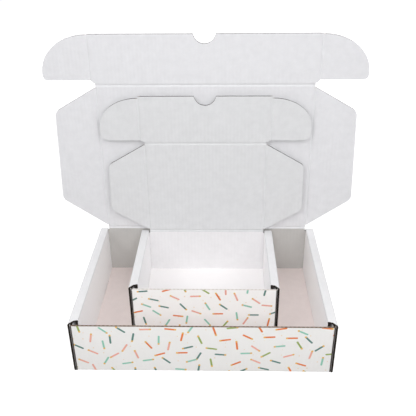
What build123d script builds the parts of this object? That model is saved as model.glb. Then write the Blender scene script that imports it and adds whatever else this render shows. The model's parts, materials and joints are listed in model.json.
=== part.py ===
from build123d import *
import os
from dataclasses import dataclass
from math import cos, radians, sin

# A pair of roll-end, tuck-top mailer boxes in corrugated board. The small one stands inside the large
# one, and both lids stand open. Every crease of a lid is a hinge; the walls are folded and locked.
# Millimetres, +Z up, +X to the right, the front faces -Y. The origin is the centre of the large
# box's underside.

# ---- board and folding allowances, the same for both boxes
BOARD = 2.0               # board thickness
OUTER_GAP = 0.15          # between a side's outer ply and the ears behind it
SLOT_GAP = 0.35           # on each side of the slot that takes a tuck ear
CREASE_GAP = 0.15         # between a crease's round edge and the panel that turns on it
WALL_SLOT = 0.6           # between the front wall and the tuck flap behind it
WING_GAP = 0.3            # between a folded wing and the side's inner ply
UNDER_RIM_GAP = 0.3       # between the rim's underside and the ears under it
BEND_RADIUS = 0.6 * BOARD  # outside radius of a folded edge
LID_LEAN = 2.0            # degrees that an open lid leans back from upright

# ---- tabs that lock a side's inner ply into the floor
TAB_LENGTH = 26.0
TAB_CLEARANCE = 0.15
TAB_LIFT = 0.3            # from the tab's end up to the underside of the floor
TAB_SPREAD = 0.25         # a tab's distance from the middle, as a share of the depth

# ---- front wall, rim ends and the thumb notch
FRONT_DROP = 2.4          # the front wall's edge below the rim's top
TUCK_BACK = 2 * BOARD + WALL_SLOT      # the tuck flap's inner face, behind the front face
RIM_KNEE_BACK = TUCK_BACK + 0.4        # the rim's front end is slanted, with a knee beside the side ply
RIM_TIP_BACK = TUCK_BACK + 1.7         # and its inner corner furthest back
PLY_TIP_BACK = TUCK_BACK + 1.1         # the inner ply's front edge
KNEE_GAP = 0.1                         # from a folded tuck ear out to the knee
NOTCH_RADIUS = 12.0
NOTCH_DEPTH = 10.0

# ---- clearances of the small box inside the large one
LID_SPACING = 4.0         # from the large lid's crease line forward to the small lid's
LID_GAP = 0.3             # from the closed small lid up to the closed large lid
EAR_GAP = 0.45            # from a small tuck ear, unfolded, out to a large wing as it folds


@dataclass
class Mailer:
    """One mailer box: its outside size, and the sizes of its lid's flaps."""
    name: str
    width: float
    depth: float
    rim_height: float       # underside to the top of the rims
    lid_rise: float         # rims' top up to the lid's crease line
    wing_reach: float       # how far a wing stands out from its crease, at its lower corner
    wing_taper: float       # how much less it stands out at its upper corner
    wing_low_rise: float    # length of lid that the wing's lower slanted edge takes
    wing_high_rise: float   # and its upper one
    wing_inset: float       # from each end of the lid to the wing's root
    wing_round: float
    tuck_depth: float
    ear_reach: float        # how far a tuck ear stands out from its crease
    ear_square: float       # height of the tuck ear's straight outer edge
    ear_round: float
    ear_drop: float         # from the tuck flap's top edge down to the tuck ear's
    dust_length: float      # length of the ears folded back inside the sides
    seat: Vector = Vector(0, 0, 0)

    def __post_init__(self):
        self.half_width = self.width / 2
        self.half_depth = self.depth / 2
        self.ear_outside = self.half_width - BOARD - OUTER_GAP
        self.ear_inside = self.ear_outside - BOARD
        self.tuck_ear_crease = self.ear_inside - SLOT_GAP - BOARD / 2
        self.ply_outside = self.tuck_ear_crease - BOARD / 2 - SLOT_GAP
        self.ply_inside = self.ply_outside - BOARD
        self.wing_crease = self.ply_inside - WING_GAP - BOARD / 2
        self.hinge_y = self.half_depth - BOARD / 2
        self.hinge_z = self.rim_height + self.lid_rise
        self.tuck_y = -self.half_depth + BOARD + WALL_SLOT + BOARD / 2
        self.lid_length = self.hinge_y - self.tuck_y
        self.ear_root = self.lid_rise + BOARD + 2 * UNDER_RIM_GAP
        self.under_rim = self.rim_height - BOARD


LARGE = Mailer("large", width=254.0, depth=176.0, rim_height=58.2, lid_rise=3.0, wing_reach=50.5,
               wing_taper=4.0, wing_low_rise=34.0, wing_high_rise=26.0, wing_inset=3.0, wing_round=9.0,
               tuck_depth=53.0, ear_reach=50.0, ear_square=2.5, ear_round=5.0, ear_drop=0.6,
               dust_length=45.0)
SMALL_RISE = 1.2
SMALL = Mailer("small", width=155.0, depth=114.0, lid_rise=SMALL_RISE,
               rim_height=LARGE.hinge_z - 2 * BOARD - LID_GAP - SMALL_RISE, wing_reach=43.5,
               wing_taper=1.0, wing_low_rise=25.0, wing_high_rise=24.0, wing_inset=1.8, wing_round=8.0,
               tuck_depth=53.3, ear_reach=0.0, ear_square=7.0, ear_round=9.0, ear_drop=2.2,
               dust_length=38.0)
SMALL.ear_reach = LARGE.wing_crease - BOARD / 2 - EAR_GAP - SMALL.tuck_ear_crease
SMALL.seat = Vector(0, LARGE.hinge_y - LID_SPACING - SMALL.hinge_y, BOARD)


def block(x, y, z):
    """A box from three (low, high) pairs."""
    size = [high - low for low, high in (x, y, z)]
    middle = [(low + high) / 2 for low, high in (x, y, z)]
    return Pos(*middle) * Box(*size)


def edges_at(part, x=None, y=None, z=None):
    """The straight edges that lie wholly at the given coordinates."""
    def on(edge):
        low, high = edge.bounding_box().min, edge.bounding_box().max
        return all(want is None or (abs(lo - want) < 1e-4 and abs(hi - want) < 1e-4)
                   for want, lo, hi in ((x, low.X, high.X), (y, low.Y, high.Y), (z, low.Z, high.Z)))
    return [edge for edge in part.edges() if on(edge)]


def outline(*corners):
    """A flat face from (x, y, radius) corners."""
    face = make_face(Polyline(*[(x, y) for x, y, _ in corners], close=True))
    for x, y, radius in corners:
        if radius:
            face = fillet(face.vertices().sort_by_distance((x, y, 0))[0], radius)
    return face


def board(face):
    """A panel: the face thickened to the board, half to each side."""
    return extrude(face, amount=BOARD / 2, both=True)


def bead(start, end):
    """The round edge of a crease, from one point of the panel's middle plane to another."""
    axis = Vector(*end) - Vector(*start)
    return Plane(origin=start, z_dir=axis) * Cylinder(BOARD / 2, axis.length,
                                                      align=(Align.CENTER, Align.CENTER, Align.MIN))


# ---- the tray: floor, walls and what is folded inside them
def tab_places(box):
    return [side * TAB_SPREAD * box.depth for side in (-1, 1)]


def floor(box):
    """Bottom panel between the walls, with a slot for each lock tab."""
    x, y = box.half_width - BOARD, box.half_depth - BOARD
    panel = block((-x, x), (-y, y), (0, BOARD))
    reach = TAB_LENGTH / 2 + TAB_CLEARANCE
    for side in (-1, 1):
        slot_x = sorted((side * (box.ply_inside - TAB_CLEARANCE), side * (box.ply_outside + TAB_CLEARANCE)))
        for place in tab_places(box):
            panel -= block(slot_x, (place - reach, place + reach), (-BOARD, 2 * BOARD))
    return panel


def front_wall(box):
    """Single front panel with a raw top edge; its upright edges bend into the front ears."""
    x, y = box.ear_outside, box.half_depth
    wall = block((-x, x), (-y, -y + BOARD), (0, box.rim_height - FRONT_DROP))
    bends = edges_at(wall, x=x, y=-y) + edges_at(wall, x=-x, y=-y) + edges_at(wall, y=-y, z=0)
    return fillet(bends, BEND_RADIUS)


def back_wall(box):
    """Back panel: low beside the rims, and up to the lid's crease between them."""
    x, y = box.ear_outside, box.half_depth
    wall = block((-x, x), (y - BOARD, y), (0, box.under_rim))
    bends = edges_at(wall, x=x, y=y) + edges_at(wall, x=-x, y=y) + edges_at(wall, y=y, z=0)
    wall = fillet(bends, BEND_RADIUS)
    crease = box.wing_crease
    wall += block((-crease, crease), (y - BOARD, y), (box.under_rim - BOARD, box.hinge_z))
    return wall + bead((-crease, box.hinge_y, box.hinge_z), (crease, box.hinge_y, box.hinge_z))


def side_outer(box):
    """Outer ply of a side, with raw ends flush with the front and back."""
    x, y = box.half_width, box.half_depth
    ply = block((x - BOARD, x), (-y, y), (0, box.under_rim))
    return fillet(edges_at(ply, x=x, z=0), BEND_RADIUS)


def rim(box):
    """Flat strip where a side rolls over; its front end is cut back to let the tuck flap in."""
    x, y = box.half_width, box.half_depth
    strip = outline((x, -y, 0), (x, y, 0), (box.ply_inside, y, 0), (box.ply_inside, RIM_TIP_BACK - y, 0),
                    (box.tuck_ear_crease + BOARD / 2 + KNEE_GAP, RIM_KNEE_BACK - y, 0))
    strip = Pos(0, 0, box.under_rim) * extrude(strip, amount=BOARD)
    top = box.rim_height
    return fillet(edges_at(strip, x=x, z=top) + edges_at(strip, x=box.ply_inside, z=top), BEND_RADIUS)


def side_inner(box):
    """Inner ply of a side, locked into the floor by two tabs."""
    x = (box.ply_inside, box.ply_outside)
    y = box.half_depth
    ply = block(x, (PLY_TIP_BACK - y, y - BOARD - UNDER_RIM_GAP), (BOARD, box.under_rim))
    for place in tab_places(box):
        tab = (place - TAB_LENGTH / 2, place + TAB_LENGTH / 2)
        ply += block(x, tab, (TAB_LIFT, 2 * BOARD))
    return ply


def dust_ear(box, end):
    """Ear of the front (-1) or back (+1) wall, folded back between a side's two plies."""
    root = end * (box.half_depth - BOARD)
    y = sorted((root, root - end * box.dust_length))
    return block((box.ear_inside, box.ear_outside), y, (BOARD + UNDER_RIM_GAP, box.under_rim - UNDER_RIM_GAP))


# ---- the lid and its flaps, drawn flat: X across, Y from the lid's crease line towards the tuck
# flap, and the inside of the lid up
def lid(box):
    """Top panel, with a round edge on the three creases that its flaps turn on."""
    x, y = box.wing_crease, box.lid_length
    start = BOARD / 2 + CREASE_GAP
    panel = board(outline((-x, start, 0), (x, start, 0), (x, y, 0), (-x, y, 0)))
    panel += bead((-x, y, 0), (x, y, 0))
    for side in (-x, x):
        panel += bead((side, start, 0), (side, y, 0)) + Pos(side, y, 0) * Sphere(BOARD / 2)
    return panel


def wing(box):
    """Side flap of the lid, slanted at both ends so that it clears the walls as it folds."""
    start = BOARD / 2 + CREASE_GAP
    low, high = box.wing_inset, box.lid_length - box.wing_inset
    upper_reach = box.wing_reach - box.wing_taper
    flap = outline((start, low, 0), (box.wing_reach, low + box.wing_low_rise, box.wing_round),
                   (upper_reach, high - box.wing_high_rise, box.wing_round), (start, high, 0))
    return Pos(box.wing_crease, 0, 0) * board(flap)


def tuck_flap(box):
    """Front flap of the lid, with a thumb notch; its ends are the creases of the tuck ears."""
    start = BOARD / 2 + CREASE_GAP
    x, top = box.tuck_ear_crease, box.tuck_depth
    root = box.wing_crease
    face = outline((-root, start, 0), (root, start, 0), (x, box.ear_root, 0), (x, top, 0),
                   (-x, top, 0), (-x, box.ear_root, 0))
    notch = Pos(0, top + NOTCH_RADIUS - NOTCH_DEPTH) * Circle(NOTCH_RADIUS)
    panel = board(face - notch)
    for side in (-x, x):
        panel += bead((side, box.ear_root, 0), (side, top, 0))
    return Pos(0, box.lid_length, 0) * panel


def tuck_ear(box):
    """End of the tuck flap, which folds back and slides into the side: a quarter of an ellipse."""
    start = BOARD / 2 + CREASE_GAP
    reach, low, high = box.ear_reach, box.ear_root, box.tuck_depth - box.ear_drop
    shoulder = low + box.ear_round + box.ear_square
    curve = EllipticalCenterArc((start, shoulder), reach - start, high - shoulder, start_angle=0, arc_size=90)
    edges = curve + Polyline((start, high), (start, low), (reach, low), (reach, shoulder))
    face = make_face(edges)
    face = fillet(face.vertices().sort_by_distance((reach, low, 0))[0], box.ear_round)
    return Pos(box.tuck_ear_crease, box.lid_length, 0) * board(face)


def raised(box, panel):
    """Stands a flat lid panel up on the lid's crease line, leaning back."""
    lean = radians(LID_LEAN)
    return Plane((0, box.hinge_y, box.hinge_z), x_dir=(1, 0, 0), z_dir=(0, -cos(lean), sin(lean))) * panel


def save(box, name, part):
    export_step(Pos(*box.seat) * part, f"parts/{box.name}_{name}.step")


def save_pair(box, name, part):
    """Saves a right-hand piece and its mirror image."""
    save(box, name + "_right", part)
    save(box, name + "_left", mirror(part, Plane.YZ))


os.makedirs("parts", exist_ok=True)
for mailer in (LARGE, SMALL):
    save(mailer, "floor", floor(mailer))
    save(mailer, "front_wall", front_wall(mailer))
    save(mailer, "back_wall", back_wall(mailer))
    save_pair(mailer, "side_outer", side_outer(mailer))
    save_pair(mailer, "rim", rim(mailer))
    save_pair(mailer, "side_inner", side_inner(mailer))
    save_pair(mailer, "front_ear", dust_ear(mailer, -1))
    save_pair(mailer, "back_ear", dust_ear(mailer, 1))
    save(mailer, "lid", raised(mailer, lid(mailer)))
    save_pair(mailer, "wing", raised(mailer, wing(mailer)))
    save(mailer, "tuck_flap", raised(mailer, tuck_flap(mailer)))
    save_pair(mailer, "tuck_ear", raised(mailer, tuck_ear(mailer)))
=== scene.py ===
# %% [markdown]
# # Two mailer boxes in corrugated board
#
# A small roll-end mailer box stands inside a large one, and both lids are open. Each box is one
# die-cut blank: a flat sheet of board whose panels turn on creases. The CAD model has one solid for
# each panel and a hinge at each crease of the lids. Here every panel becomes real corrugated board,
# two paper liners with a wavy sheet between them, so that a cut edge shows what it shows on a real
# box. The first cell loads the CAD model as the frame that everything is measured from.

# %% The frame
import json
import math
import bpy
import numpy as np
from mathutils import Matrix, Vector
from mathutils.bvhtree import BVHTree

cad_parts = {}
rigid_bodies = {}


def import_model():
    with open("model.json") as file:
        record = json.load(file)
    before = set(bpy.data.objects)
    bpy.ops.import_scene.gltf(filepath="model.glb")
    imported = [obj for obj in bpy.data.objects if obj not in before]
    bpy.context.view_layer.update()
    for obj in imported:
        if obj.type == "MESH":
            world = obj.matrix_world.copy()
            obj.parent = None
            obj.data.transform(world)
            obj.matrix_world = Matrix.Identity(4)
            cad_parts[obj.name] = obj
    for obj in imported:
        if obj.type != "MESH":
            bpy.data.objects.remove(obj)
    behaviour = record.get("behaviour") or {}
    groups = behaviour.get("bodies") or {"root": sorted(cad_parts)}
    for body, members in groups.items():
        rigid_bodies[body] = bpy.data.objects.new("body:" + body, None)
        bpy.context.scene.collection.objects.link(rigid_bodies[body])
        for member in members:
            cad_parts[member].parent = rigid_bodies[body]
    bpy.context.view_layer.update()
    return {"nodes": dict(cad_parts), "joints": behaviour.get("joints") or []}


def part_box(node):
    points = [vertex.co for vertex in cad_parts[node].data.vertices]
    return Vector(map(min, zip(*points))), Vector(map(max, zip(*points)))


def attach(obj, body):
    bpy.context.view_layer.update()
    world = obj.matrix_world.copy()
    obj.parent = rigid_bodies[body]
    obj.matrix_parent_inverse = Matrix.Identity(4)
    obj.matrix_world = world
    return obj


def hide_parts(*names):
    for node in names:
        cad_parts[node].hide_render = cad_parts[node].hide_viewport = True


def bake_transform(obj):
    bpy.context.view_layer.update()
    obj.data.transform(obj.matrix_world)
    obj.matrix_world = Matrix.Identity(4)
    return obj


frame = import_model()
MM = 0.001
X, Y, Z = Vector((1, 0, 0)), Vector((0, 1, 0)), Vector((0, 0, 1))

# %% [markdown]
# ## The board's own sizes
#
# The thickness comes from the CAD floor, so the two can't disagree. The rest is ordinary fine-flute
# board: thin liners, a thinner medium between them and a wave about twice as long as the board is
# thick. A crease is pressed into the board by a blunt rule. It needs a strip of board on each side of
# its line to bend in, and half of that strip's width is named here.

# %% Sizes of the board
low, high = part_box("large_floor")
BOARD = high.z - low.z
LINER = 0.3 * MM
MEDIUM = 0.25 * MM
PITCH = 4.0 * MM
WASHBOARD = 0.04 * MM
STEP = PITCH / 8
CREASE = 2.2 * MM
FOLD = 0.2 * MM         # radius of a fixed fold, at the middle of the board
SLIT = 1e-6             # half the gap left where a cut makes the outline jump
BESIDE = 3 * SLIT       # just clear of a slit
JUMP = 0.3 * MM         # an outline that moves more than this over a slit is a cut
CRUMB = 1e-5            # a stretch of board shorter than this is left out
FAR = 9.0               # farther than any panel reaches, so no limit
print(f"board {BOARD / MM:.2f} mm, {BOARD / PITCH:.2f} waves of height to length")

# %% [markdown]
# ## Formulas in nodes
#
# Materials and Geometry Nodes are both graphs of nodes. Wired one by one, a short formula takes a page.
# This class wraps a socket and overloads the operators, so a formula reads as it would on paper.
# Each operator adds one Math node. Every other node comes from the one function `add`: its settings
# and a ramp's stops are set first, because they decide which sockets the node has.

# %% A socket that does arithmetic
class Value:
    def __init__(self, tree, socket):
        self.tree, self.socket = tree, socket

    def math(self, operation, *others):
        return add(self.tree, "ShaderNodeMath", self, *others, operation=operation)

    def other(self, output):
        """Another output of the same node, by name or position."""
        return Value(self.tree, self.socket.node.outputs[output])

    def __add__(self, other): return self.math("ADD", other)
    def __sub__(self, other): return self.math("SUBTRACT", other)
    def __mul__(self, other): return self.math("MULTIPLY", other)
    def __truediv__(self, other): return self.math("DIVIDE", other)
    def __neg__(self): return self * -1
    def __abs__(self): return self.math("ABSOLUTE")
    __radd__ = __add__
    __rmul__ = __mul__
    def __rsub__(self, other): return -self + other
    def __rtruediv__(self, other): return add(self.tree, "ShaderNodeMath", other, self, operation="DIVIDE")


def plug(tree, socket, given):
    """Links a Value, or each one of a list, to a socket, or sets the socket's own constant."""
    if isinstance(given, (Value, list)):
        for value in given if isinstance(given, list) else [given]:
            tree.links.new(value.socket, socket)
    elif given is not None:
        socket.default_value = given


def add(tree, kind, *inputs, output=0, named=None, stops=(), **settings):
    """Adds one node. Inputs go in by position, or by name or number in `named`; `output` picks the result."""
    node = tree.nodes.new(kind)
    for key, setting in settings.items():
        setattr(node, key, setting)
    if stops:
        node.color_ramp.interpolation = "CONSTANT"
        while len(node.color_ramp.elements) < len(stops):
            node.color_ramp.elements.new(0.5)
        for i, (stop, colour) in enumerate(zip(node.color_ramp.elements, stops)):
            stop.position, stop.color = i / len(stops), (*colour, 1)
    for socket, given in zip(node.inputs, inputs):
        plug(tree, socket, given)
    for name, given in (named or {}).items():
        plug(tree, node.inputs[name], given)
    return Value(tree, node.outputs[output]) if node.outputs else None


print("sockets can be added and multiplied")

# %% [markdown]
# ## Corrugated board as a node tree
#
# What repeats here is the flute, hundreds of times over thirty-eight panels. It could be an array of
# one wave, but a panel has slanted and rounded outlines and some panels roll over an edge. So the
# input is the middle surface of a panel, made of narrow columns that run along the flutes. Each point
# carries three attributes: `out`, the direction of the printed side; `across`, the distance
# travelled over the flutes; and `crush`, how much of its thickness the board keeps at a crease.
# The tree pushes the surface along `out` to make each of the three sheets, and waves the middle one.

# %% One sheet of paper from a surface
def sheet_of_paper(tree, surface, out, crush, bottom, top):
    """The surface thickened from bottom to top along `out`: upper part, its top faces, underside."""
    def shifted(mesh, distance, selection=None):
        offset = add(tree, "ShaderNodeVectorMath", out, operation="SCALE", named={"Scale": distance * crush})
        return add(tree, "GeometryNodeSetPosition", mesh, selection, None, offset)
    base = shifted(surface, bottom)
    raised = add(tree, "GeometryNodeExtrudeMesh", base, named={"Offset Scale": 0.0, "Individual": False})
    is_top = raised.other("Top")
    upper = shifted(raised, top - bottom, is_top)
    return upper, is_top, add(tree, "GeometryNodeFlipFaces", base)


def dressed(tree, mesh, material, selection=None):
    return add(tree, "GeometryNodeSetMaterial", mesh, selection, material)


def joined(tree, *meshes):
    return add(tree, "GeometryNodeJoinGeometry", list(meshes))


print("a sheet is a surface pushed out twice")

# %% [markdown]
# ## The whole board in one tree
#
# The tree makes the outer liner, the inner liner and the waved medium from the same surface, so the
# three always lie parallel. Points that share a place are merged, which closes each sheet. The wave
# also shows faintly through both liners: that is the washboard look of real corrugated board.

# %% The Corrugate tree
def corrugate_tree():
    tree = bpy.data.node_groups.new("Corrugate", "GeometryNodeTree")
    face = tree.interface
    face.new_socket("Surface", in_out="INPUT", socket_type="NodeSocketGeometry")
    for name in ("Thickness", "Liner", "Medium", "Pitch", "Washboard"):
        face.new_socket(name, in_out="INPUT", socket_type="NodeSocketFloat")
    for name in ("Outside", "Inside", "Cut", "Flute"):
        face.new_socket(name, in_out="INPUT", socket_type="NodeSocketMaterial")
    face.new_socket("Board", in_out="OUTPUT", socket_type="NodeSocketGeometry")
    sockets = add(tree, "NodeGroupInput").socket.node.outputs
    given = {socket.name: Value(tree, socket) for socket in sockets if socket.name}

    def stored(name, kind):
        return add(tree, "GeometryNodeInputNamedAttribute", name, data_type=kind)
    out, crush = stored("out", "FLOAT_VECTOR"), stored("crush", "FLOAT")
    wave = (stored("across", "FLOAT") * (2 * math.pi) / given["Pitch"]).math("COSINE")
    weld = {"Distance": SLIT / 2}
    surface = add(tree, "GeometryNodeMergeByDistance", given["Surface"], named=weld)
    half, liner, medium = given["Thickness"] / 2, given["Liner"], given["Medium"]
    sink = given["Washboard"] / 2

    def whole(*parts):
        return add(tree, "GeometryNodeMergeByDistance", joined(tree, *parts), named=weld)

    sunk = half - sink * (1 - wave)
    upper, is_top, under = sheet_of_paper(tree, surface, out, crush, sunk - liner, sunk)
    outer = whole(dressed(tree, dressed(tree, upper, given["Cut"]), given["Outside"], is_top),
                  dressed(tree, under, given["Cut"]))
    sunk = sink * (1 + wave) - half
    upper, is_top, under = sheet_of_paper(tree, surface, out, crush, sunk, sunk + liner)
    inner = whole(dressed(tree, upper, given["Cut"]), dressed(tree, under, given["Inside"]))
    middle = (half - liner - medium / 2) * wave
    upper, is_top, under = sheet_of_paper(tree, surface, out, crush, middle - medium / 2, middle + medium / 2)
    fluting = dressed(tree, whole(upper, under), given["Flute"])
    board = add(tree, "GeometryNodeSetShadeSmooth", joined(tree, outer, inner, fluting))
    add(tree, "NodeGroupOutput", add(tree, "GeometryNodeRealizeInstances", board))
    return tree


CORRUGATE = corrugate_tree()
print("Corrugate has", len(CORRUGATE.nodes), "nodes")

# %% [markdown]
# ## Where a panel starts and ends
#
# The outlines were drawn in the CAD model, with their slants, slots, tabs and rounded corners. To
# copy those numbers would be to keep them in two places. So each column asks the CAD solid instead:
# a ray is sent along the flutes, and every pair of hits is a stretch of board. A ray through a floor
# slot gives two stretches, and the slot is left open with no further work.

# %% Asking the CAD solid
RAY_STEP = 1e-6         # a ray restarts this far past each hit
MOST_HITS = 40
solids = {}


def solid(node):
    if node not in solids:
        mesh = frame["nodes"][node].data
        points = [vertex.co.copy() for vertex in mesh.vertices]
        solids[node] = points, BVHTree.FromPolygons(points, [tuple(p.vertices) for p in mesh.polygons])
    return solids[node]


def stretches(node, point, flute, reach=0.5):
    """Where the line through point along the flutes lies inside a CAD node, as (low, high) distances."""
    tree, hits, start = solid(node)[1], [], point - flute * reach
    for _ in range(MOST_HITS):
        place = tree.ray_cast(start, flute)[0]
        if place is None:
            break
        distance = (place - point).dot(flute)
        if not hits or distance - hits[-1] > 2 * RAY_STEP:
            hits.append(distance)
        start = place + flute * RAY_STEP
    return list(zip(hits[::2], hits[1::2]))


floor_runs = stretches("large_floor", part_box("large_floor")[0].lerp(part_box("large_floor")[1], 0.5), Y)
print("the floor's middle column runs", [[round(v / MM, 2) for v in run] for run in floor_runs])

# %% [markdown]
# ## Walking over the flutes
#
# A panel is walked from one side to the other in steps of an eighth of a flute. Where the board rolls
# over an edge, the walk turns the corner on a small arc, and the outside direction turns with it. Extra
# steps are put just before and just after every corner of the CAD outline, so that no corner is cut off.

# %% The walk
def places_on(length, stops):
    """Distances from 0 to length, a step apart at most, with one on each side of every stop."""
    places = set(np.linspace(0, length, max(2, math.ceil(length / STEP) + 1)))
    for stop in stops:
        if BESIDE < stop < length - BESIDE:
            places |= {stop - SLIT, stop + SLIT}
    return sorted(places)


def walk(node, corners, flute):
    """Runs of (point, outside direction, distance travelled): straight ones, with arcs between them."""
    runs, travelled = [], 0.0
    for i, (a, b) in enumerate(zip(corners, corners[1:])):
        way = (b - a).normalized()
        outward = flute.cross(way)
        a = a + way * FOLD if i else a
        b = b - way * FOLD if i < len(corners) - 2 else b
        stops = {round((v - a).dot(way), 6) for v in solid(node)[0]} if node else ()
        runs.append([(a + way * p, outward, travelled + p) for p in places_on((b - a).length, stops)])
        travelled += (b - a).length
        if i < len(corners) - 2:
            centre, arc = b - outward * FOLD, []
            for angle in np.radians(np.linspace(0, 90, 7)):
                turned = outward * math.cos(angle) + way * math.sin(angle)
                arc.append((centre + turned * FOLD, turned, travelled + FOLD * angle))
            runs.append(arc)
            travelled += FOLD * math.pi / 2
    return runs


print("steps of", STEP / MM, "mm, arcs of", FOLD / MM, "mm")

# %% [markdown]
# ## From a walk to a surface
#
# Each place of the walk becomes a column with two or more points along the flute, and neighbouring
# columns are joined by quads. A quad is left out where the number of stretches changes or where the
# outline jumps: there the board has a cut edge.

# %% The surface of a panel
class Surface:
    """Points, quads and the attributes that the Corrugate tree reads."""
    def __init__(self):
        self.points, self.out, self.across, self.crush, self.flat, self.quads = [], [], [], [], [], []

    def column(self, rows, across, crush, worn):
        first = len(self.points)
        for point, outward, along in rows:
            self.points.append(point)
            self.out.append(outward)
            self.across.append(across)
            self.crush.append(crush(point))
            self.flat.append((across, along, worn))
        return list(range(first, len(self.points)))

    def join(self, left, right):
        for i in range(len(left) - 1):
            self.quads.append((left[i], left[i + 1], right[i + 1], right[i]))


def straight(point, outward, flute, low, high):
    return [(point + flute * t, outward, t) for t in (low, high)]


def panel(surface, node, corners, flute, rows=straight, clip=(-FAR, FAR), probe=0.0, near=None,
          crush=lambda point: 1.0, worn=0.0, begin=0.0):
    """Adds the part of a CAD node that the walk covers. `near` moves a probe to where the node has board.
    Folds can be marked for the print to darken them there: painted shade, for the shadow in the crevice at
    the fold."""
    for turn, run in enumerate(walk(node, corners, flute)):
        last = None
        for i, (point, outward, travelled) in enumerate(run):
            way = outward.cross(flute)
            inset = BESIDE if i == 0 else -BESIDE if i == len(run) - 1 else 0
            asked = point + outward * probe + way * inset
            asked = near(asked) if near else asked
            board_here = stretches(node, asked, flute) if node else [clip]
            found = [(max(a, clip[0]), min(b, clip[1])) for a, b in board_here]
            found = [(a, b) for a, b in found if b - a > CRUMB]
            columns = [(a, b, surface.column(rows(point, outward, flute, a, b), begin + travelled, crush,
                                             worn * (turn % 2))) for a, b in found]
            if last and len(last[1]) == len(columns):
                for (a, b, left), (c, d, right) in zip(last[1], columns):
                    jumps = travelled - last[0] < BESIDE and max(abs(a - c), abs(b - d)) > JUMP
                    if not jumps and len(left) == len(right):
                        surface.join(left, right)
            last = travelled, columns
    return surface


print("a surface has points, quads and four attributes")

# %% [markdown]
# ## From a surface to a board
#
# The Corrugate tree runs as a modifier on the surface. Its result is kept as a plain mesh, because the
# frame and the export need real faces. Faces are smooth up to a turn of 50 degrees, which keeps the
# waves round and the cut edges sharp.

# %% Making one board
SMOOTH_UP_TO = math.radians(50)


def attribute(mesh, name, kind, values):
    layer = mesh.attributes.new(name, kind, "POINT")
    flat = np.array([tuple(v) if hasattr(v, "__len__") else v for v in values], np.float32).ravel()
    layer.data.foreach_set("vector" if kind == "FLOAT_VECTOR" else "value", flat)


def board(name, surface, outside, inside, cut, flute):
    mesh = bpy.data.meshes.new(name)
    mesh.from_pydata([tuple(p) for p in surface.points], [], surface.quads)
    attribute(mesh, "out", "FLOAT_VECTOR", surface.out)
    attribute(mesh, "across", "FLOAT", surface.across)
    attribute(mesh, "crush", "FLOAT", surface.crush)
    attribute(mesh, "flat", "FLOAT_VECTOR", surface.flat)
    piece = bpy.data.objects.new(name, mesh)
    bpy.context.scene.collection.objects.link(piece)
    modifier = piece.modifiers.new("Corrugate", "NODES")
    modifier.node_group = CORRUGATE
    settings = {"Thickness": BOARD, "Liner": LINER, "Medium": MEDIUM, "Pitch": PITCH, "Washboard": WASHBOARD,
                "Outside": outside, "Inside": inside, "Cut": cut, "Flute": flute}
    for socket in CORRUGATE.interface.items_tree:
        if socket.in_out == "INPUT" and socket.name in settings:
            modifier[socket.identifier] = settings[socket.name]
    graph = bpy.context.evaluated_depsgraph_get()
    made = bpy.data.meshes.new_from_object(piece.evaluated_get(graph))
    piece.modifiers.clear()
    piece.data = made
    for unneeded in ("out", "across", "crush"):
        made.attributes.remove(made.attributes[unneeded])
    made.set_sharp_from_angle(angle=SMOOTH_UP_TO)
    return piece


print("boards are made with", [s.name for s in CORRUGATE.interface.items_tree if s.in_out == "INPUT"])

# %% [markdown]
# ## White liner paper
#
# The inside of a mailer is white-coated liner. It isn't flat white: the pulp shows as soft clouds a few
# millimetres across, and the surface has a fine tooth. Two noises on object coordinates give both, so
# the marks stay with a panel as it turns. The clouds change the colour by a few hundredths only.

# %% Paper
def new_material(name, roughness, colour=(0.8, 0.8, 0.8)):
    material = bpy.data.materials.new(name)
    material.use_nodes = True
    shader = material.node_tree.nodes["Principled BSDF"]
    shader.inputs["Roughness"].default_value = roughness
    shader.inputs["Specular IOR Level"].default_value = 0.3
    shader.inputs["Base Color"].default_value = (*colour, 1)
    material.diffuse_color = (*colour, 1)
    return material, material.node_tree, shader


def noise(tree, scale, detail, roughness=0.5):
    where = add(tree, "ShaderNodeTexCoord", output="Object")
    settings = {"Scale": scale, "Detail": detail, "Roughness": roughness}
    return add(tree, "ShaderNodeTexNoise", where, named=settings)


def mixed(tree, factor, one, other):
    """The colour `one` where factor is 0 and `other` where it is 1."""
    one, other = ((*c, 1) if isinstance(c, tuple) else c for c in (one, other))
    return add(tree, "ShaderNodeMix", output=2, named={0: factor, 6: one, 7: other}, data_type="RGBA")


def pulp(tree, colour, spread):
    """The colour, a little darker in soft clouds."""
    clouds = noise(tree, 130.0, 3.0, 0.6)
    dark, light = (tuple(min(1, c * by) for c in colour) for by in (1 - spread, 1 + spread))
    return mixed(tree, clouds, dark, light)


def tooth(tree, shader, distance):
    grain = noise(tree, 1400.0, 3.0)
    bump = add(tree, "ShaderNodeBump", named={"Strength": 0.5, "Distance": distance, "Height": grain})
    plug(tree, shader.inputs["Normal"], bump)


def white_paper(name, colour, spread=0.05):
    material, tree, shader = new_material(name, 0.62, colour)
    plug(tree, shader.inputs["Base Color"], pulp(tree, colour, spread))
    tooth(tree, shader, 0.06 * MM)
    return material


PLAIN = white_paper("PlainLiner", (0.78, 0.78, 0.79))
# Painted light: the inner plies face inwards and get little light, so their paper is lighter than the plain
# liner.
INNER_PLY_LIGHT = white_paper("InnerPlyLitLiner", (0.96, 0.95, 0.955), 0.02)
# The floors' pink tint is the paper's own. The small floor's paper is also lighter, as painted light.
FLOOR = {"large": white_paper("LargeFloorLiner", (0.86, 0.77, 0.75)),
         "small": white_paper("SmallFloorLitLiner", (0.95, 0.93, 0.93), 0.02)}
# Painted shade: the large back wall's paper is grey for the shade it stands in behind the small box. The
# small back wall's paper is close to the plain liner.
BACK_SHADE = {"large": white_paper("LargeBackShadedLiner", (0.51, 0.50, 0.485)),
        "small": white_paper("SmallBackLiner", (0.80, 0.79, 0.80))}
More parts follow.
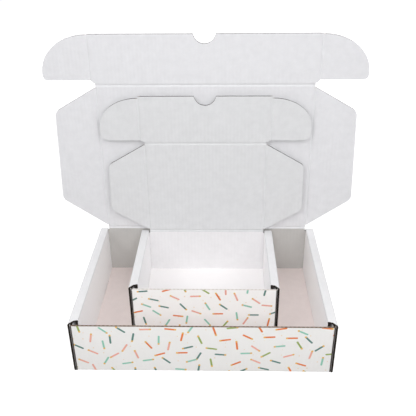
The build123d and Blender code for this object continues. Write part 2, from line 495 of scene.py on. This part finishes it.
# Painted shade: the lids' paper is darker than the plain liner, the small lid's the darkest, for the shade on
# the upright lids.
LID_SHADE = {"large": white_paper("LargeLidShadedLiner", (0.735, 0.735, 0.755), 0.07),
       "small": white_paper("SmallLidShadedLiner", (0.685, 0.69, 0.70), 0.08)}
print("papers:", [m.name for m in (PLAIN, INNER_PLY_LIGHT, *FLOOR.values(), *BACK_SHADE.values(), *LID_SHADE.values())])

# %% [markdown]
# ## Cut edges and fluting
#
# On this board the cut edges read as nearly black lines. The liners' backs are brown, so the near-black
# is partly their own colour and partly painted shade, for the shadow inside the flutes. Most panels get
# the same near-black on their fluting too, as painted shade. Elsewhere the fluting is plain brown kraft
# with fibres, a little lighter than the near-black cuts; the large front wall and the creases have brown
# cuts, and the small front wall has pale cuts and fluting. All are rough and have no sheen.

# %% Brown board
def brown(name, dark, light, scale):
    material, tree, shader = new_material(name, 0.9, light)
    plug(tree, shader.inputs["Base Color"], mixed(tree, noise(tree, scale, 4.0, 0.7), dark, light))
    return material


# Painted shade: brown kraft darkened to nearly black.
SHADED_CUT = brown("CutEdgeShaded", (0.012, 0.009, 0.008), (0.06, 0.042, 0.032), 900.0)
KRAFT = brown("Fluting", (0.09, 0.06, 0.04), (0.22, 0.15, 0.10), 500.0)
# Most panels take the near-black for both their cuts and their fluting: painted shade.
SHADED_EDGES = SHADED_CUT, SHADED_CUT
BROWN = brown("BrownCut", (0.30, 0.22, 0.17), (0.50, 0.40, 0.33), 900.0), KRAFT
WHITE = (brown("PaleCut", (0.80, 0.76, 0.72), (0.92, 0.90, 0.88), 900.0),
         brown("PaleFluting", (0.6, 0.55, 0.5), (0.8, 0.76, 0.72), 500.0))
print("brown board:", [m.name for pair in (SHADED_EDGES, BROWN, WHITE) for m in pair])

# %% [markdown]
# ## The printed side
#
# The outside is printed with small sticks, each with a golden dot at one end, and tiny dots between
# them. The print is spread by cells: the panel is cut into squares, and each square draws one stick at
# a place, turn and colour that come from a random number of that square. A stick stays inside its own
# square, so a point needs to look at one square only. Two layers of squares, half a square apart,
# break up the rows. The pattern reads the attribute `flat`, so it follows the board around a fold.

# %% One layer of the print
SQUARE = 21 * MM
STICK_HALF = 4.7 * MM
STICK_RADIUS = 0.95 * MM
INKS = ((0.745, 0.197, 0.044), (0.262, 0.552, 0.434), (0.800, 0.392, 0.309), (0.296, 0.392, 0.107),
        (0.102, 0.216, 0.188))
GOLD = (0.768, 0.468, 0.107)
WANDER = 6 * MM         # how far a stick may lie from the middle of its square, side to side
SPECK_SQUARE = 9 * MM
SPECK_WANDER = 7 * MM
SOFT_EDGE = 0.1 * MM
# Painted shade: the nearly black line along a marked fold stands for the shadow in its crevice.
FOLD_SHADE = (0.02, 0.015, 0.013)


def square_of(tree, across, along, size, shift, seed):
    """Where a point lies in its square, from the middle, and four random numbers of that square."""
    u, v = across / size + shift, along / size + shift
    left, low = u.math("FLOOR"), v.math("FLOOR")
    corner = add(tree, "ShaderNodeCombineXYZ", left, low, seed)
    random = add(tree, "ShaderNodeTexWhiteNoise", corner, noise_dimensions="3D")
    red = add(tree, "ShaderNodeSeparateColor", random.other("Color"))
    dice = [random, red, red.other(1), red.other(2)]
    return (u - left - 0.5) * size, (v - low - 0.5) * size, dice


def inside(distance, radius):
    """1 within the radius, and 0 outside, with a soft edge a tenth of a millimetre wide."""
    edge = (radius - distance) / SOFT_EDGE + 0.5
    return add(edge.tree, "ShaderNodeClamp", edge)


def length(a, b):
    return (a * a + b * b).math("SQRT")


def sticks(tree, under, across, along, shift, seed):
    """One stick with its golden end in each square, over the colour `under`."""
    u, v, (ink, slide_u, slide_v, turn) = square_of(tree, across, along, SQUARE, shift, seed)
    u, v = u - (slide_u - 0.5) * WANDER, v - (slide_v - 0.5) * WANDER
    angle = turn * (2 * math.pi)
    cos, sin = angle.math("COSINE"), angle.math("SINE")
    a, b = u * cos + v * sin, v * cos - u * sin
    past_end = (abs(a) - STICK_HALF).math("MAXIMUM", 0.0)
    colour = add(tree, "ShaderNodeValToRGB", ink, stops=INKS)
    under = mixed(tree, inside(length(past_end, b), STICK_RADIUS), under, colour)
    return mixed(tree, inside(length(a - STICK_HALF, b), 1.15 * STICK_RADIUS), under, GOLD)


def specks(tree, under, across, along, seed):
    """Tiny pale golden dots in about half of the small squares."""
    u, v, (chance, slide_u, slide_v, _) = square_of(tree, across, along, SPECK_SQUARE, 0.3, seed)
    u, v = u - (slide_u - 0.5) * SPECK_WANDER, v - (slide_v - 0.5) * SPECK_WANDER
    radius = (chance - 0.35).math("MAXIMUM", 0.0) * (1.2 * MM)
    return mixed(tree, inside(length(u, v), radius) * 0.45, under, GOLD)


print("sticks", 2 * STICK_HALF / MM, "mm long in squares of", SQUARE / MM, "mm")

# %% [markdown]
# ## The printed liner
#
# The layers go down as a printer would lay them: paper, specks, then two layers of sticks. The seed
# differs from box to box, so the two boxes don't carry the same sheet. Where the attribute `flat` marks
# a fold, the ink gives way to a nearly black line: painted shade, for the shadow in the crevice there.

# %% The printed liner
def printed_paper(name, colour, seed):
    material, tree, shader = new_material(name, 0.5, colour)
    flat = add(tree, "ShaderNodeAttribute", attribute_name="flat", output=1)
    across = add(tree, "ShaderNodeSeparateXYZ", flat)
    along, worn = across.other(1), across.other(2)
    ink = specks(tree, pulp(tree, colour, 0.02), across, along, seed + 2.0)
    ink = sticks(tree, ink, across, along, 0.5, seed + 1.0)
    ink = sticks(tree, ink, across, along, 0.0, seed)
    # Painted shade: marked folds turn nearly black.
    plug(tree, shader.inputs["Base Color"], mixed(tree, worn, ink, FOLD_SHADE))
    tooth(tree, shader, 0.03 * MM)
    return material


# Painted light: the small box's printed paper is lighter than the large box's, to brighten its front wall,
# which stands in the large box's shade.
PRINTED_AND_LIT = {"large": printed_paper("LargePrintedLiner", (0.82, 0.81, 0.795), 11.0),
           "small": printed_paper("SmallPrintedLitLiner", (0.92, 0.91, 0.895), 47.0)}
print("printed:", [m.name for m in PRINTED_AND_LIT.values()], "with", len(INKS), "inks")

# %% [markdown]
# ## Where each box folds
#
# The CAD joints say where every crease of a lid lies. From them come the lid's own direction, which
# leans two degrees back from upright, its length, and how far out the flaps' creases are.

# %% Folds of a box
joints = {joint["name"]: joint for joint in frame["joints"]}


def at(name):
    return Vector(joints[name]["pos_m"])


class Folds:
    def __init__(self, box):
        self.box, self.hinge, self.tuck = box, at(f"{box}_lid_hinge"), at(f"{box}_tuck_fold")
        self.up = (self.tuck - self.hinge).normalized()
        self.length = (self.tuck - self.hinge).length
        self.wing = at(f"{box}_wing_right_fold").x
        self.ear = at(f"{box}_tuck_ear_right_fold").x

    def on_lid(self, x, v=0.0):
        """The point x to the right and v up the lid from its crease."""
        return Vector((x, self.hinge.y, self.hinge.z)) + self.up * v


boxes = [Folds("large"), Folds("small")]
for folds in boxes:
    print(folds.box, "lid", round(folds.length / MM, 1), "mm long, wings at", round(folds.wing / MM, 2))


# %% [markdown]
# ## Left and right
#
# Most panels come in mirrored pairs. A walk for the right-hand one becomes the left-hand one when its
# corners are mirrored and taken in the opposite order; the reversal keeps the printed side outward.

# %% Adding pieces
def mirrored(corners):
    return [Vector((-c.x, c.y, c.z)) for c in reversed(corners)]


def settle(piece, body, material_slot, *nodes):
    """Ties a finished board to its CAD body, and hides the CAD nodes that it stands for."""
    if nodes:
        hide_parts(*nodes)
    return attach(piece, body)


def add_panel(box, part, body, corners, flute, outside=None, inside=PLAIN, finish=PLAIN, edges=SHADED_EDGES, **how):
    """A board in place of one CAD node: printed outside if `outside` is given, or else finished plain."""
    node = f"{box}_{part}"
    surface = panel(Surface(), node, corners, flute, **how)
    piece = board(f"{node}_board", surface, outside or finish, inside, *edges)
    return settle(piece, f"{box}_{body}", "printed_board" if outside else "plain_board", node)


def add_pair(box, part, body, corners, flute, **how):
    """The same panel on both sides; a body named with {side} has one for each."""
    for side, line in (("right", corners), ("left", mirrored(corners))):
        add_panel(box, f"{part}_{side}", body.format(side=side), line, flute, **how)


def boards_made():
    return sum(o.name.endswith("_board") for o in bpy.data.objects)


print("pairs are mirrored across x = 0")

# %% [markdown]
# ## The tray
#
# The flutes of the blank run from the front to the back, and up through the front wall, the back wall
# and the lid. So they run along Y in the floor and the rolled sides, and upright in the front and back.
# The front and back walls fold under at the bottom, across their flutes. That fold is made by extra
# rows at the foot of each column, turned around a small centre.

# %% Walls that fold under
def folded_under(point, outward, flute, low, high):
    if abs(outward.x) > 1e-6:
        return straight(point, outward, flute, low, high)
    centre = point + flute * (low + BOARD / 2 + FOLD) - outward * FOLD
    rows = [(centre - flute * FOLD - outward * (BOARD / 2 - FOLD), -flute, low)]
    for angle in np.radians((90, 68, 45, 22, 0)):
        turned = outward * math.cos(angle) - flute * math.sin(angle)
        rows.append((centre + turned * FOLD, turned, low))
    return rows + [(point + flute * high, outward, high)]


def front_and_back(folds):
    box = folds.box
    low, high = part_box(f"{box}_front_wall")
    x, y = high.x - BOARD / 2, low.y + BOARD / 2
    corners = [Vector((a, b, low.z)) for a, b in ((x, high.y), (x, y), (-x, y), (-x, high.y))]
    # The front wall's corner folds get a painted shade line in the print.
    add_panel(box, "front_wall", "tray", corners, Z, outside=PRINTED_AND_LIT[box], rows=folded_under, worn=1.0,
              edges=BROWN if box == "large" else WHITE)
    low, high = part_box(f"{box}_back_wall")
    x, y = high.x - BOARD / 2, high.y - BOARD / 2
    corners = [Vector((a, b, low.z)) for a, b in ((-x, low.y), (-x, y), (x, y), (x, low.y))]
    top = folds.hinge.z - CREASE - low.z
    add_panel(box, "back_wall", "tray", corners, Z, outside=PRINTED_AND_LIT[box], inside=BACK_SHADE[box], rows=folded_under,
              clip=(0, top))


for folds in boxes:
    front_and_back(folds)
print("front and back walls made")


# %% [markdown]
# ## Rolled sides
#
# A side goes up as the outer ply, over as the rim and down as the inner ply, whose tabs lock into the
# floor. The rim owns both rolled edges, because its fluted end is what shows at the front as a small
# black hook. The ears of the front and back walls stand between the plies.

# %% Sides, floor and ears
def sides(folds):
    box = folds.box
    low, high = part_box(f"{box}_side_outer_right")
    x, y, z = high.x - BOARD / 2, (low.y + high.y) / 2, low.z + BOARD / 2
    add_pair(box, "side_outer", "tray", [Vector((low.x, y, z)), Vector((x, y, z)), Vector((x, y, high.z))], Y,
             outside=PRINTED_AND_LIT[box])
    rim_low, rim_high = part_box(f"{box}_rim_right")
    inner, top = rim_low.x + BOARD / 2, rim_high.z - BOARD / 2
    rolled = [Vector(p) for p in ((x, y, rim_low.z), (x, y, top), (inner, y, top), (inner, y, rim_low.z))]
    add_pair(box, "rim", "tray", rolled, Y, probe=0.475 * BOARD)
    low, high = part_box(f"{box}_side_inner_right")
    down = [Vector((inner, y, high.z)), Vector((inner, y, low.z))]
    add_pair(box, "side_inner", "tray", down, Y, finish=INNER_PLY_LIGHT)


def floor_and_ears(folds):
    box = folds.box
    low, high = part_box(f"{box}_floor")
    middle = (low + high) / 2
    across = [Vector((x, middle.y, middle.z)) for x in (low.x, high.x)]
    add_panel(box, "floor", "tray", across, Y, inside=FLOOR[box])
    for end in ("front", "back"):
        low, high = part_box(f"{box}_{end}_ear_right")
        middle = (low + high) / 2
        add_pair(box, f"{end}_ear", "tray", [Vector((middle.x, y, middle.z)) for y in (high.y, low.y)], Z)


for folds in boxes:
    sides(folds)
    floor_and_ears(folds)
print("trays made:", boards_made(), "boards so far")

# %% [markdown]
# ## The lid and its flaps
#
# Every part of a lid is walked along X, from the lid's crease line, and its flutes run up the lid. The
# panels stop short of their creases by half a crease strip on each side.

# %% Lid panels
def lid_panels(folds):
    box, line = folds.box, folds.on_lid
    edge, ear = folds.wing - CREASE, folds.ear - CREASE
    white = {"inside": LID_SHADE[box], "finish": LID_SHADE[box]}
    add_panel(box, "lid", "lid", [line(-edge), line(edge)], folds.up, outside=PRINTED_AND_LIT[box], inside=LID_SHADE[box],
              clip=(CREASE, folds.length - CREASE))
    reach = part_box(f"{box}_wing_right")[1].x
    add_pair(box, "wing", "wing_{side}", [line(folds.wing + CREASE), line(reach)], folds.up, **white)
    add_panel(box, "tuck_flap", "tuck_flap", [line(-ear), line(ear)], folds.up,
              clip=(folds.length + CREASE, FAR), **white)
    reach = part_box(f"{box}_tuck_ear_right")[1].x
    add_pair(box, "tuck_ear", "tuck_ear_{side}", [line(folds.ear + CREASE), line(reach)], folds.up, **white)


for folds in boxes:
    lid_panels(folds)
print("lids made:", boards_made(), "boards so far")

# %% [markdown]
# ## Crease strips
#
# A crease is a narrow strip of crushed board. On a real box it is the one part that bends while the
# panels on each side stay flat, so here it is a piece of its own. Its thickness drops to about two fifths
# at the line, as it does where a rule was pressed in. Creases across the flutes have their bend along each
# column, and creases along the flutes have it from column to column.

# %% Crease strips
PRESSED = 0.62          # share of the thickness lost at the line
PRESSED_WIDTH = 1.1 * MM
ROWS = 9


def pressed(distance):
    """How much of its thickness the board keeps at this distance from a crease's line."""
    return 1 - PRESSED * math.exp(-(distance / PRESSED_WIDTH) ** 2)


def many_rows(below, above, along):
    """Columns of many rows, which leave the line in one direction below it and another above it."""
    def rows(point, outward, flute, low, high):
        return [(point + (above if t > 0 else below) * t, outward, along + t)
                for t in np.linspace(low, high, ROWS)]
    return rows


def finish_crease(folds, name, strip, bodies, start, end):
    """The print runs on over the creases of the lid, a little way onto the plain flaps. The tuck flap's
    own creases, where its ears turn, are plain."""
    printed = "lid" in bodies
    outside = (PRINTED_AND_LIT if printed else LID_SHADE)[folds.box]
    piece = board(f"{folds.box}_{name}", strip, outside, LID_SHADE[folds.box], *BROWN)
    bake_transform(piece)


def cross_crease(folds, name, bodies, line, below, along):
    """A crease that runs across the flutes, along X."""
    crush = lambda point: pressed(Vector((0, point.y - line.y, point.z - line.z)).length)
    ends = [Vector((x, line.y, line.z)) for x in (-folds.wing, folds.wing)]
    strip = panel(Surface(), None, ends, folds.up, rows=many_rows(below, folds.up, along),
                  clip=(-CREASE, CREASE), crush=crush, begin=-CREASE)
    finish_crease(folds, name, strip, bodies, line - below * CREASE, line + folds.up * CREASE)


def long_crease(folds, name, bodies, x, inner, outer, clip):
    """A pair of creases that run along the flutes, x to each side, between two CAD nodes."""
    for side, sign in (("right", 1), ("left", -1)):
        def beside(point):
            return Vector((sign * max(sign * point.x, x + 0.6 * BOARD), point.y, point.z))
        crush = lambda point: pressed(abs(sign * point.x - x))
        strip = Surface()
        steps = [(inner, x - CREASE, x, clip, None), (outer, x, x + CREASE, (-FAR, FAR), beside)]
        for node, start, end, limits, near in steps:
            corners = [folds.on_lid(start), folds.on_lid(end)]
            corners = corners if sign > 0 else mirrored(corners)
            panel(strip, f"{folds.box}_{node.format(side=side)}", corners, folds.up, clip=limits, near=near,
                  crush=crush, begin=corners[0].x + folds.wing - CREASE)
        finish_crease(folds, f"{name}_{side}", strip, [b.format(side=side) for b in bodies],
                      folds.on_lid(sign * (x - CREASE)), folds.on_lid(sign * (x + CREASE)))


def creases(folds):
    cross_crease(folds, "lid_crease", ("tray", "lid"), folds.hinge, Z, 0)
    cross_crease(folds, "tuck_crease", ("lid", "tuck_flap"), folds.tuck, folds.up, folds.length)
    long_crease(folds, "wing_crease", ("lid", "wing_{side}"), folds.wing, "lid", "wing_{side}",
                (CREASE, folds.length - CREASE))
    long_crease(folds, "ear_crease", ("tuck_flap", "tuck_ear_{side}"), folds.ear, "tuck_flap",
                "tuck_ear_{side}", (folds.length + CREASE, FAR))


for folds in boxes:
    creases(folds)

# %% [markdown]
# ## Light and floor
#
# The boxes stand in an all-white studio. A white sky lights them evenly from all around, so the corners
# and the bays between the boxes are darkened only by the boards themselves. Two soft lamps above the
# sides reach into the bays, a smaller one in front lights the walls that face the viewer, and a wide
# one behind keeps the back of the lids from going dark when the pair is turned. The floor
# is white and glows a little to the camera only, as an overexposed studio sweep does, which leaves
# almost no shadow on it and doesn't wash out the walls.

# %% Sky and lamps
world = bpy.data.worlds.new("White")
bpy.context.scene.world = world
world.use_nodes = True
sky = world.node_tree
seen = add(sky, "ShaderNodeLightPath")
backdrop = add(sky, "ShaderNodeBackground", (1, 1, 1, 1), 1.0)
ambient = add(sky, "ShaderNodeBackground", (1, 0.995, 1, 1), 0.60)
shown = add(sky, "ShaderNodeMixShader", seen, ambient, backdrop)
sky.links.new(shown.socket, sky.nodes["World Output"].inputs["Surface"])


def lamp(name, place, target, size, power):
    light = bpy.data.lights.new(name, "AREA")
    light.shape, light.size, light.energy = "DISK", size, power
    made = bpy.data.objects.new(name, light)
    made.location = place
    made.rotation_euler = (Vector(target) - Vector(place)).to_track_quat("-Z", "Y").to_euler()
    bpy.context.scene.collection.objects.link(made)
    return made


lamps = [lamp("Left", (-0.70, -0.50, 1.0), (0.05, 0, 0.03), 0.5, 2.9),
         lamp("Right", (0.70, -0.50, 1.0), (-0.05, 0, 0.03), 0.5, 2.6),
         lamp("Front", (0.02, -0.62, 0.50), (0, 0, 0.06), 0.35, 2.1),
         lamp("Back", (0.25, 1.3, 0.8), (0, 0, 0.15), 0.8, 4.5)]
material, tree, shader = new_material("StudioFloor", 0.9, (0.5, 0.5, 0.5))
shader.inputs["Specular IOR Level"].default_value = 0.0
seen = add(tree, "ShaderNodeLightPath")
glow = add(tree, "ShaderNodeEmission", (1, 1, 1, 1), seen * 0.72)
lit = add(tree, "ShaderNodeAddShader", Value(tree, shader.outputs[0]), glow)
tree.links.new(lit.socket, tree.nodes["Material Output"].inputs["Surface"])
mesh = bpy.data.meshes.new("StudioFloor")
mesh.from_pydata([(x, y, 0) for x, y in ((-8, -8), (8, -8), (8, 8), (-8, 8))], [], [(0, 1, 2, 3)])
mesh.materials.append(material)
studio_floor = bpy.data.objects.new("StudioFloor", mesh)
bpy.context.scene.collection.objects.link(studio_floor)
bpy.context.scene.view_settings.view_transform = "Standard"
print("lamps:", [light.name for light in lamps])

# %% [markdown]
# ## Camera
#
# The camera looks down at the pair from in front, a little to the right of the middle. Its place, turn
# and focal length come from matching corners of the boxes to where they are seen.

# %% Camera
PITCH_DOWN, YAW, ROLL = (math.radians(a) for a in (29.05, -1.615, -0.662))
ahead = Vector((math.sin(YAW), math.cos(YAW), 0))
forward = ahead * math.cos(PITCH_DOWN) - Z * math.sin(PITCH_DOWN)
level = Vector((math.cos(YAW), -math.sin(YAW), 0))
upward = level.cross(forward)
right = level * math.cos(ROLL) + upward * math.sin(ROLL)
above = upward * math.cos(ROLL) - level * math.sin(ROLL)
camera = bpy.data.objects.new("Camera", bpy.data.cameras.new("Camera"))
bpy.context.scene.collection.objects.link(camera)
camera.matrix_world = Matrix((right, above, -forward)).transposed().to_4x4()
camera.location = Vector((18.83, -511.76, 419.11)) * MM
camera.data.lens = 50.54
camera.data.clip_start = 0.01
bpy.context.scene.camera = camera
print("camera at", [round(v, 3) for v in camera.location])
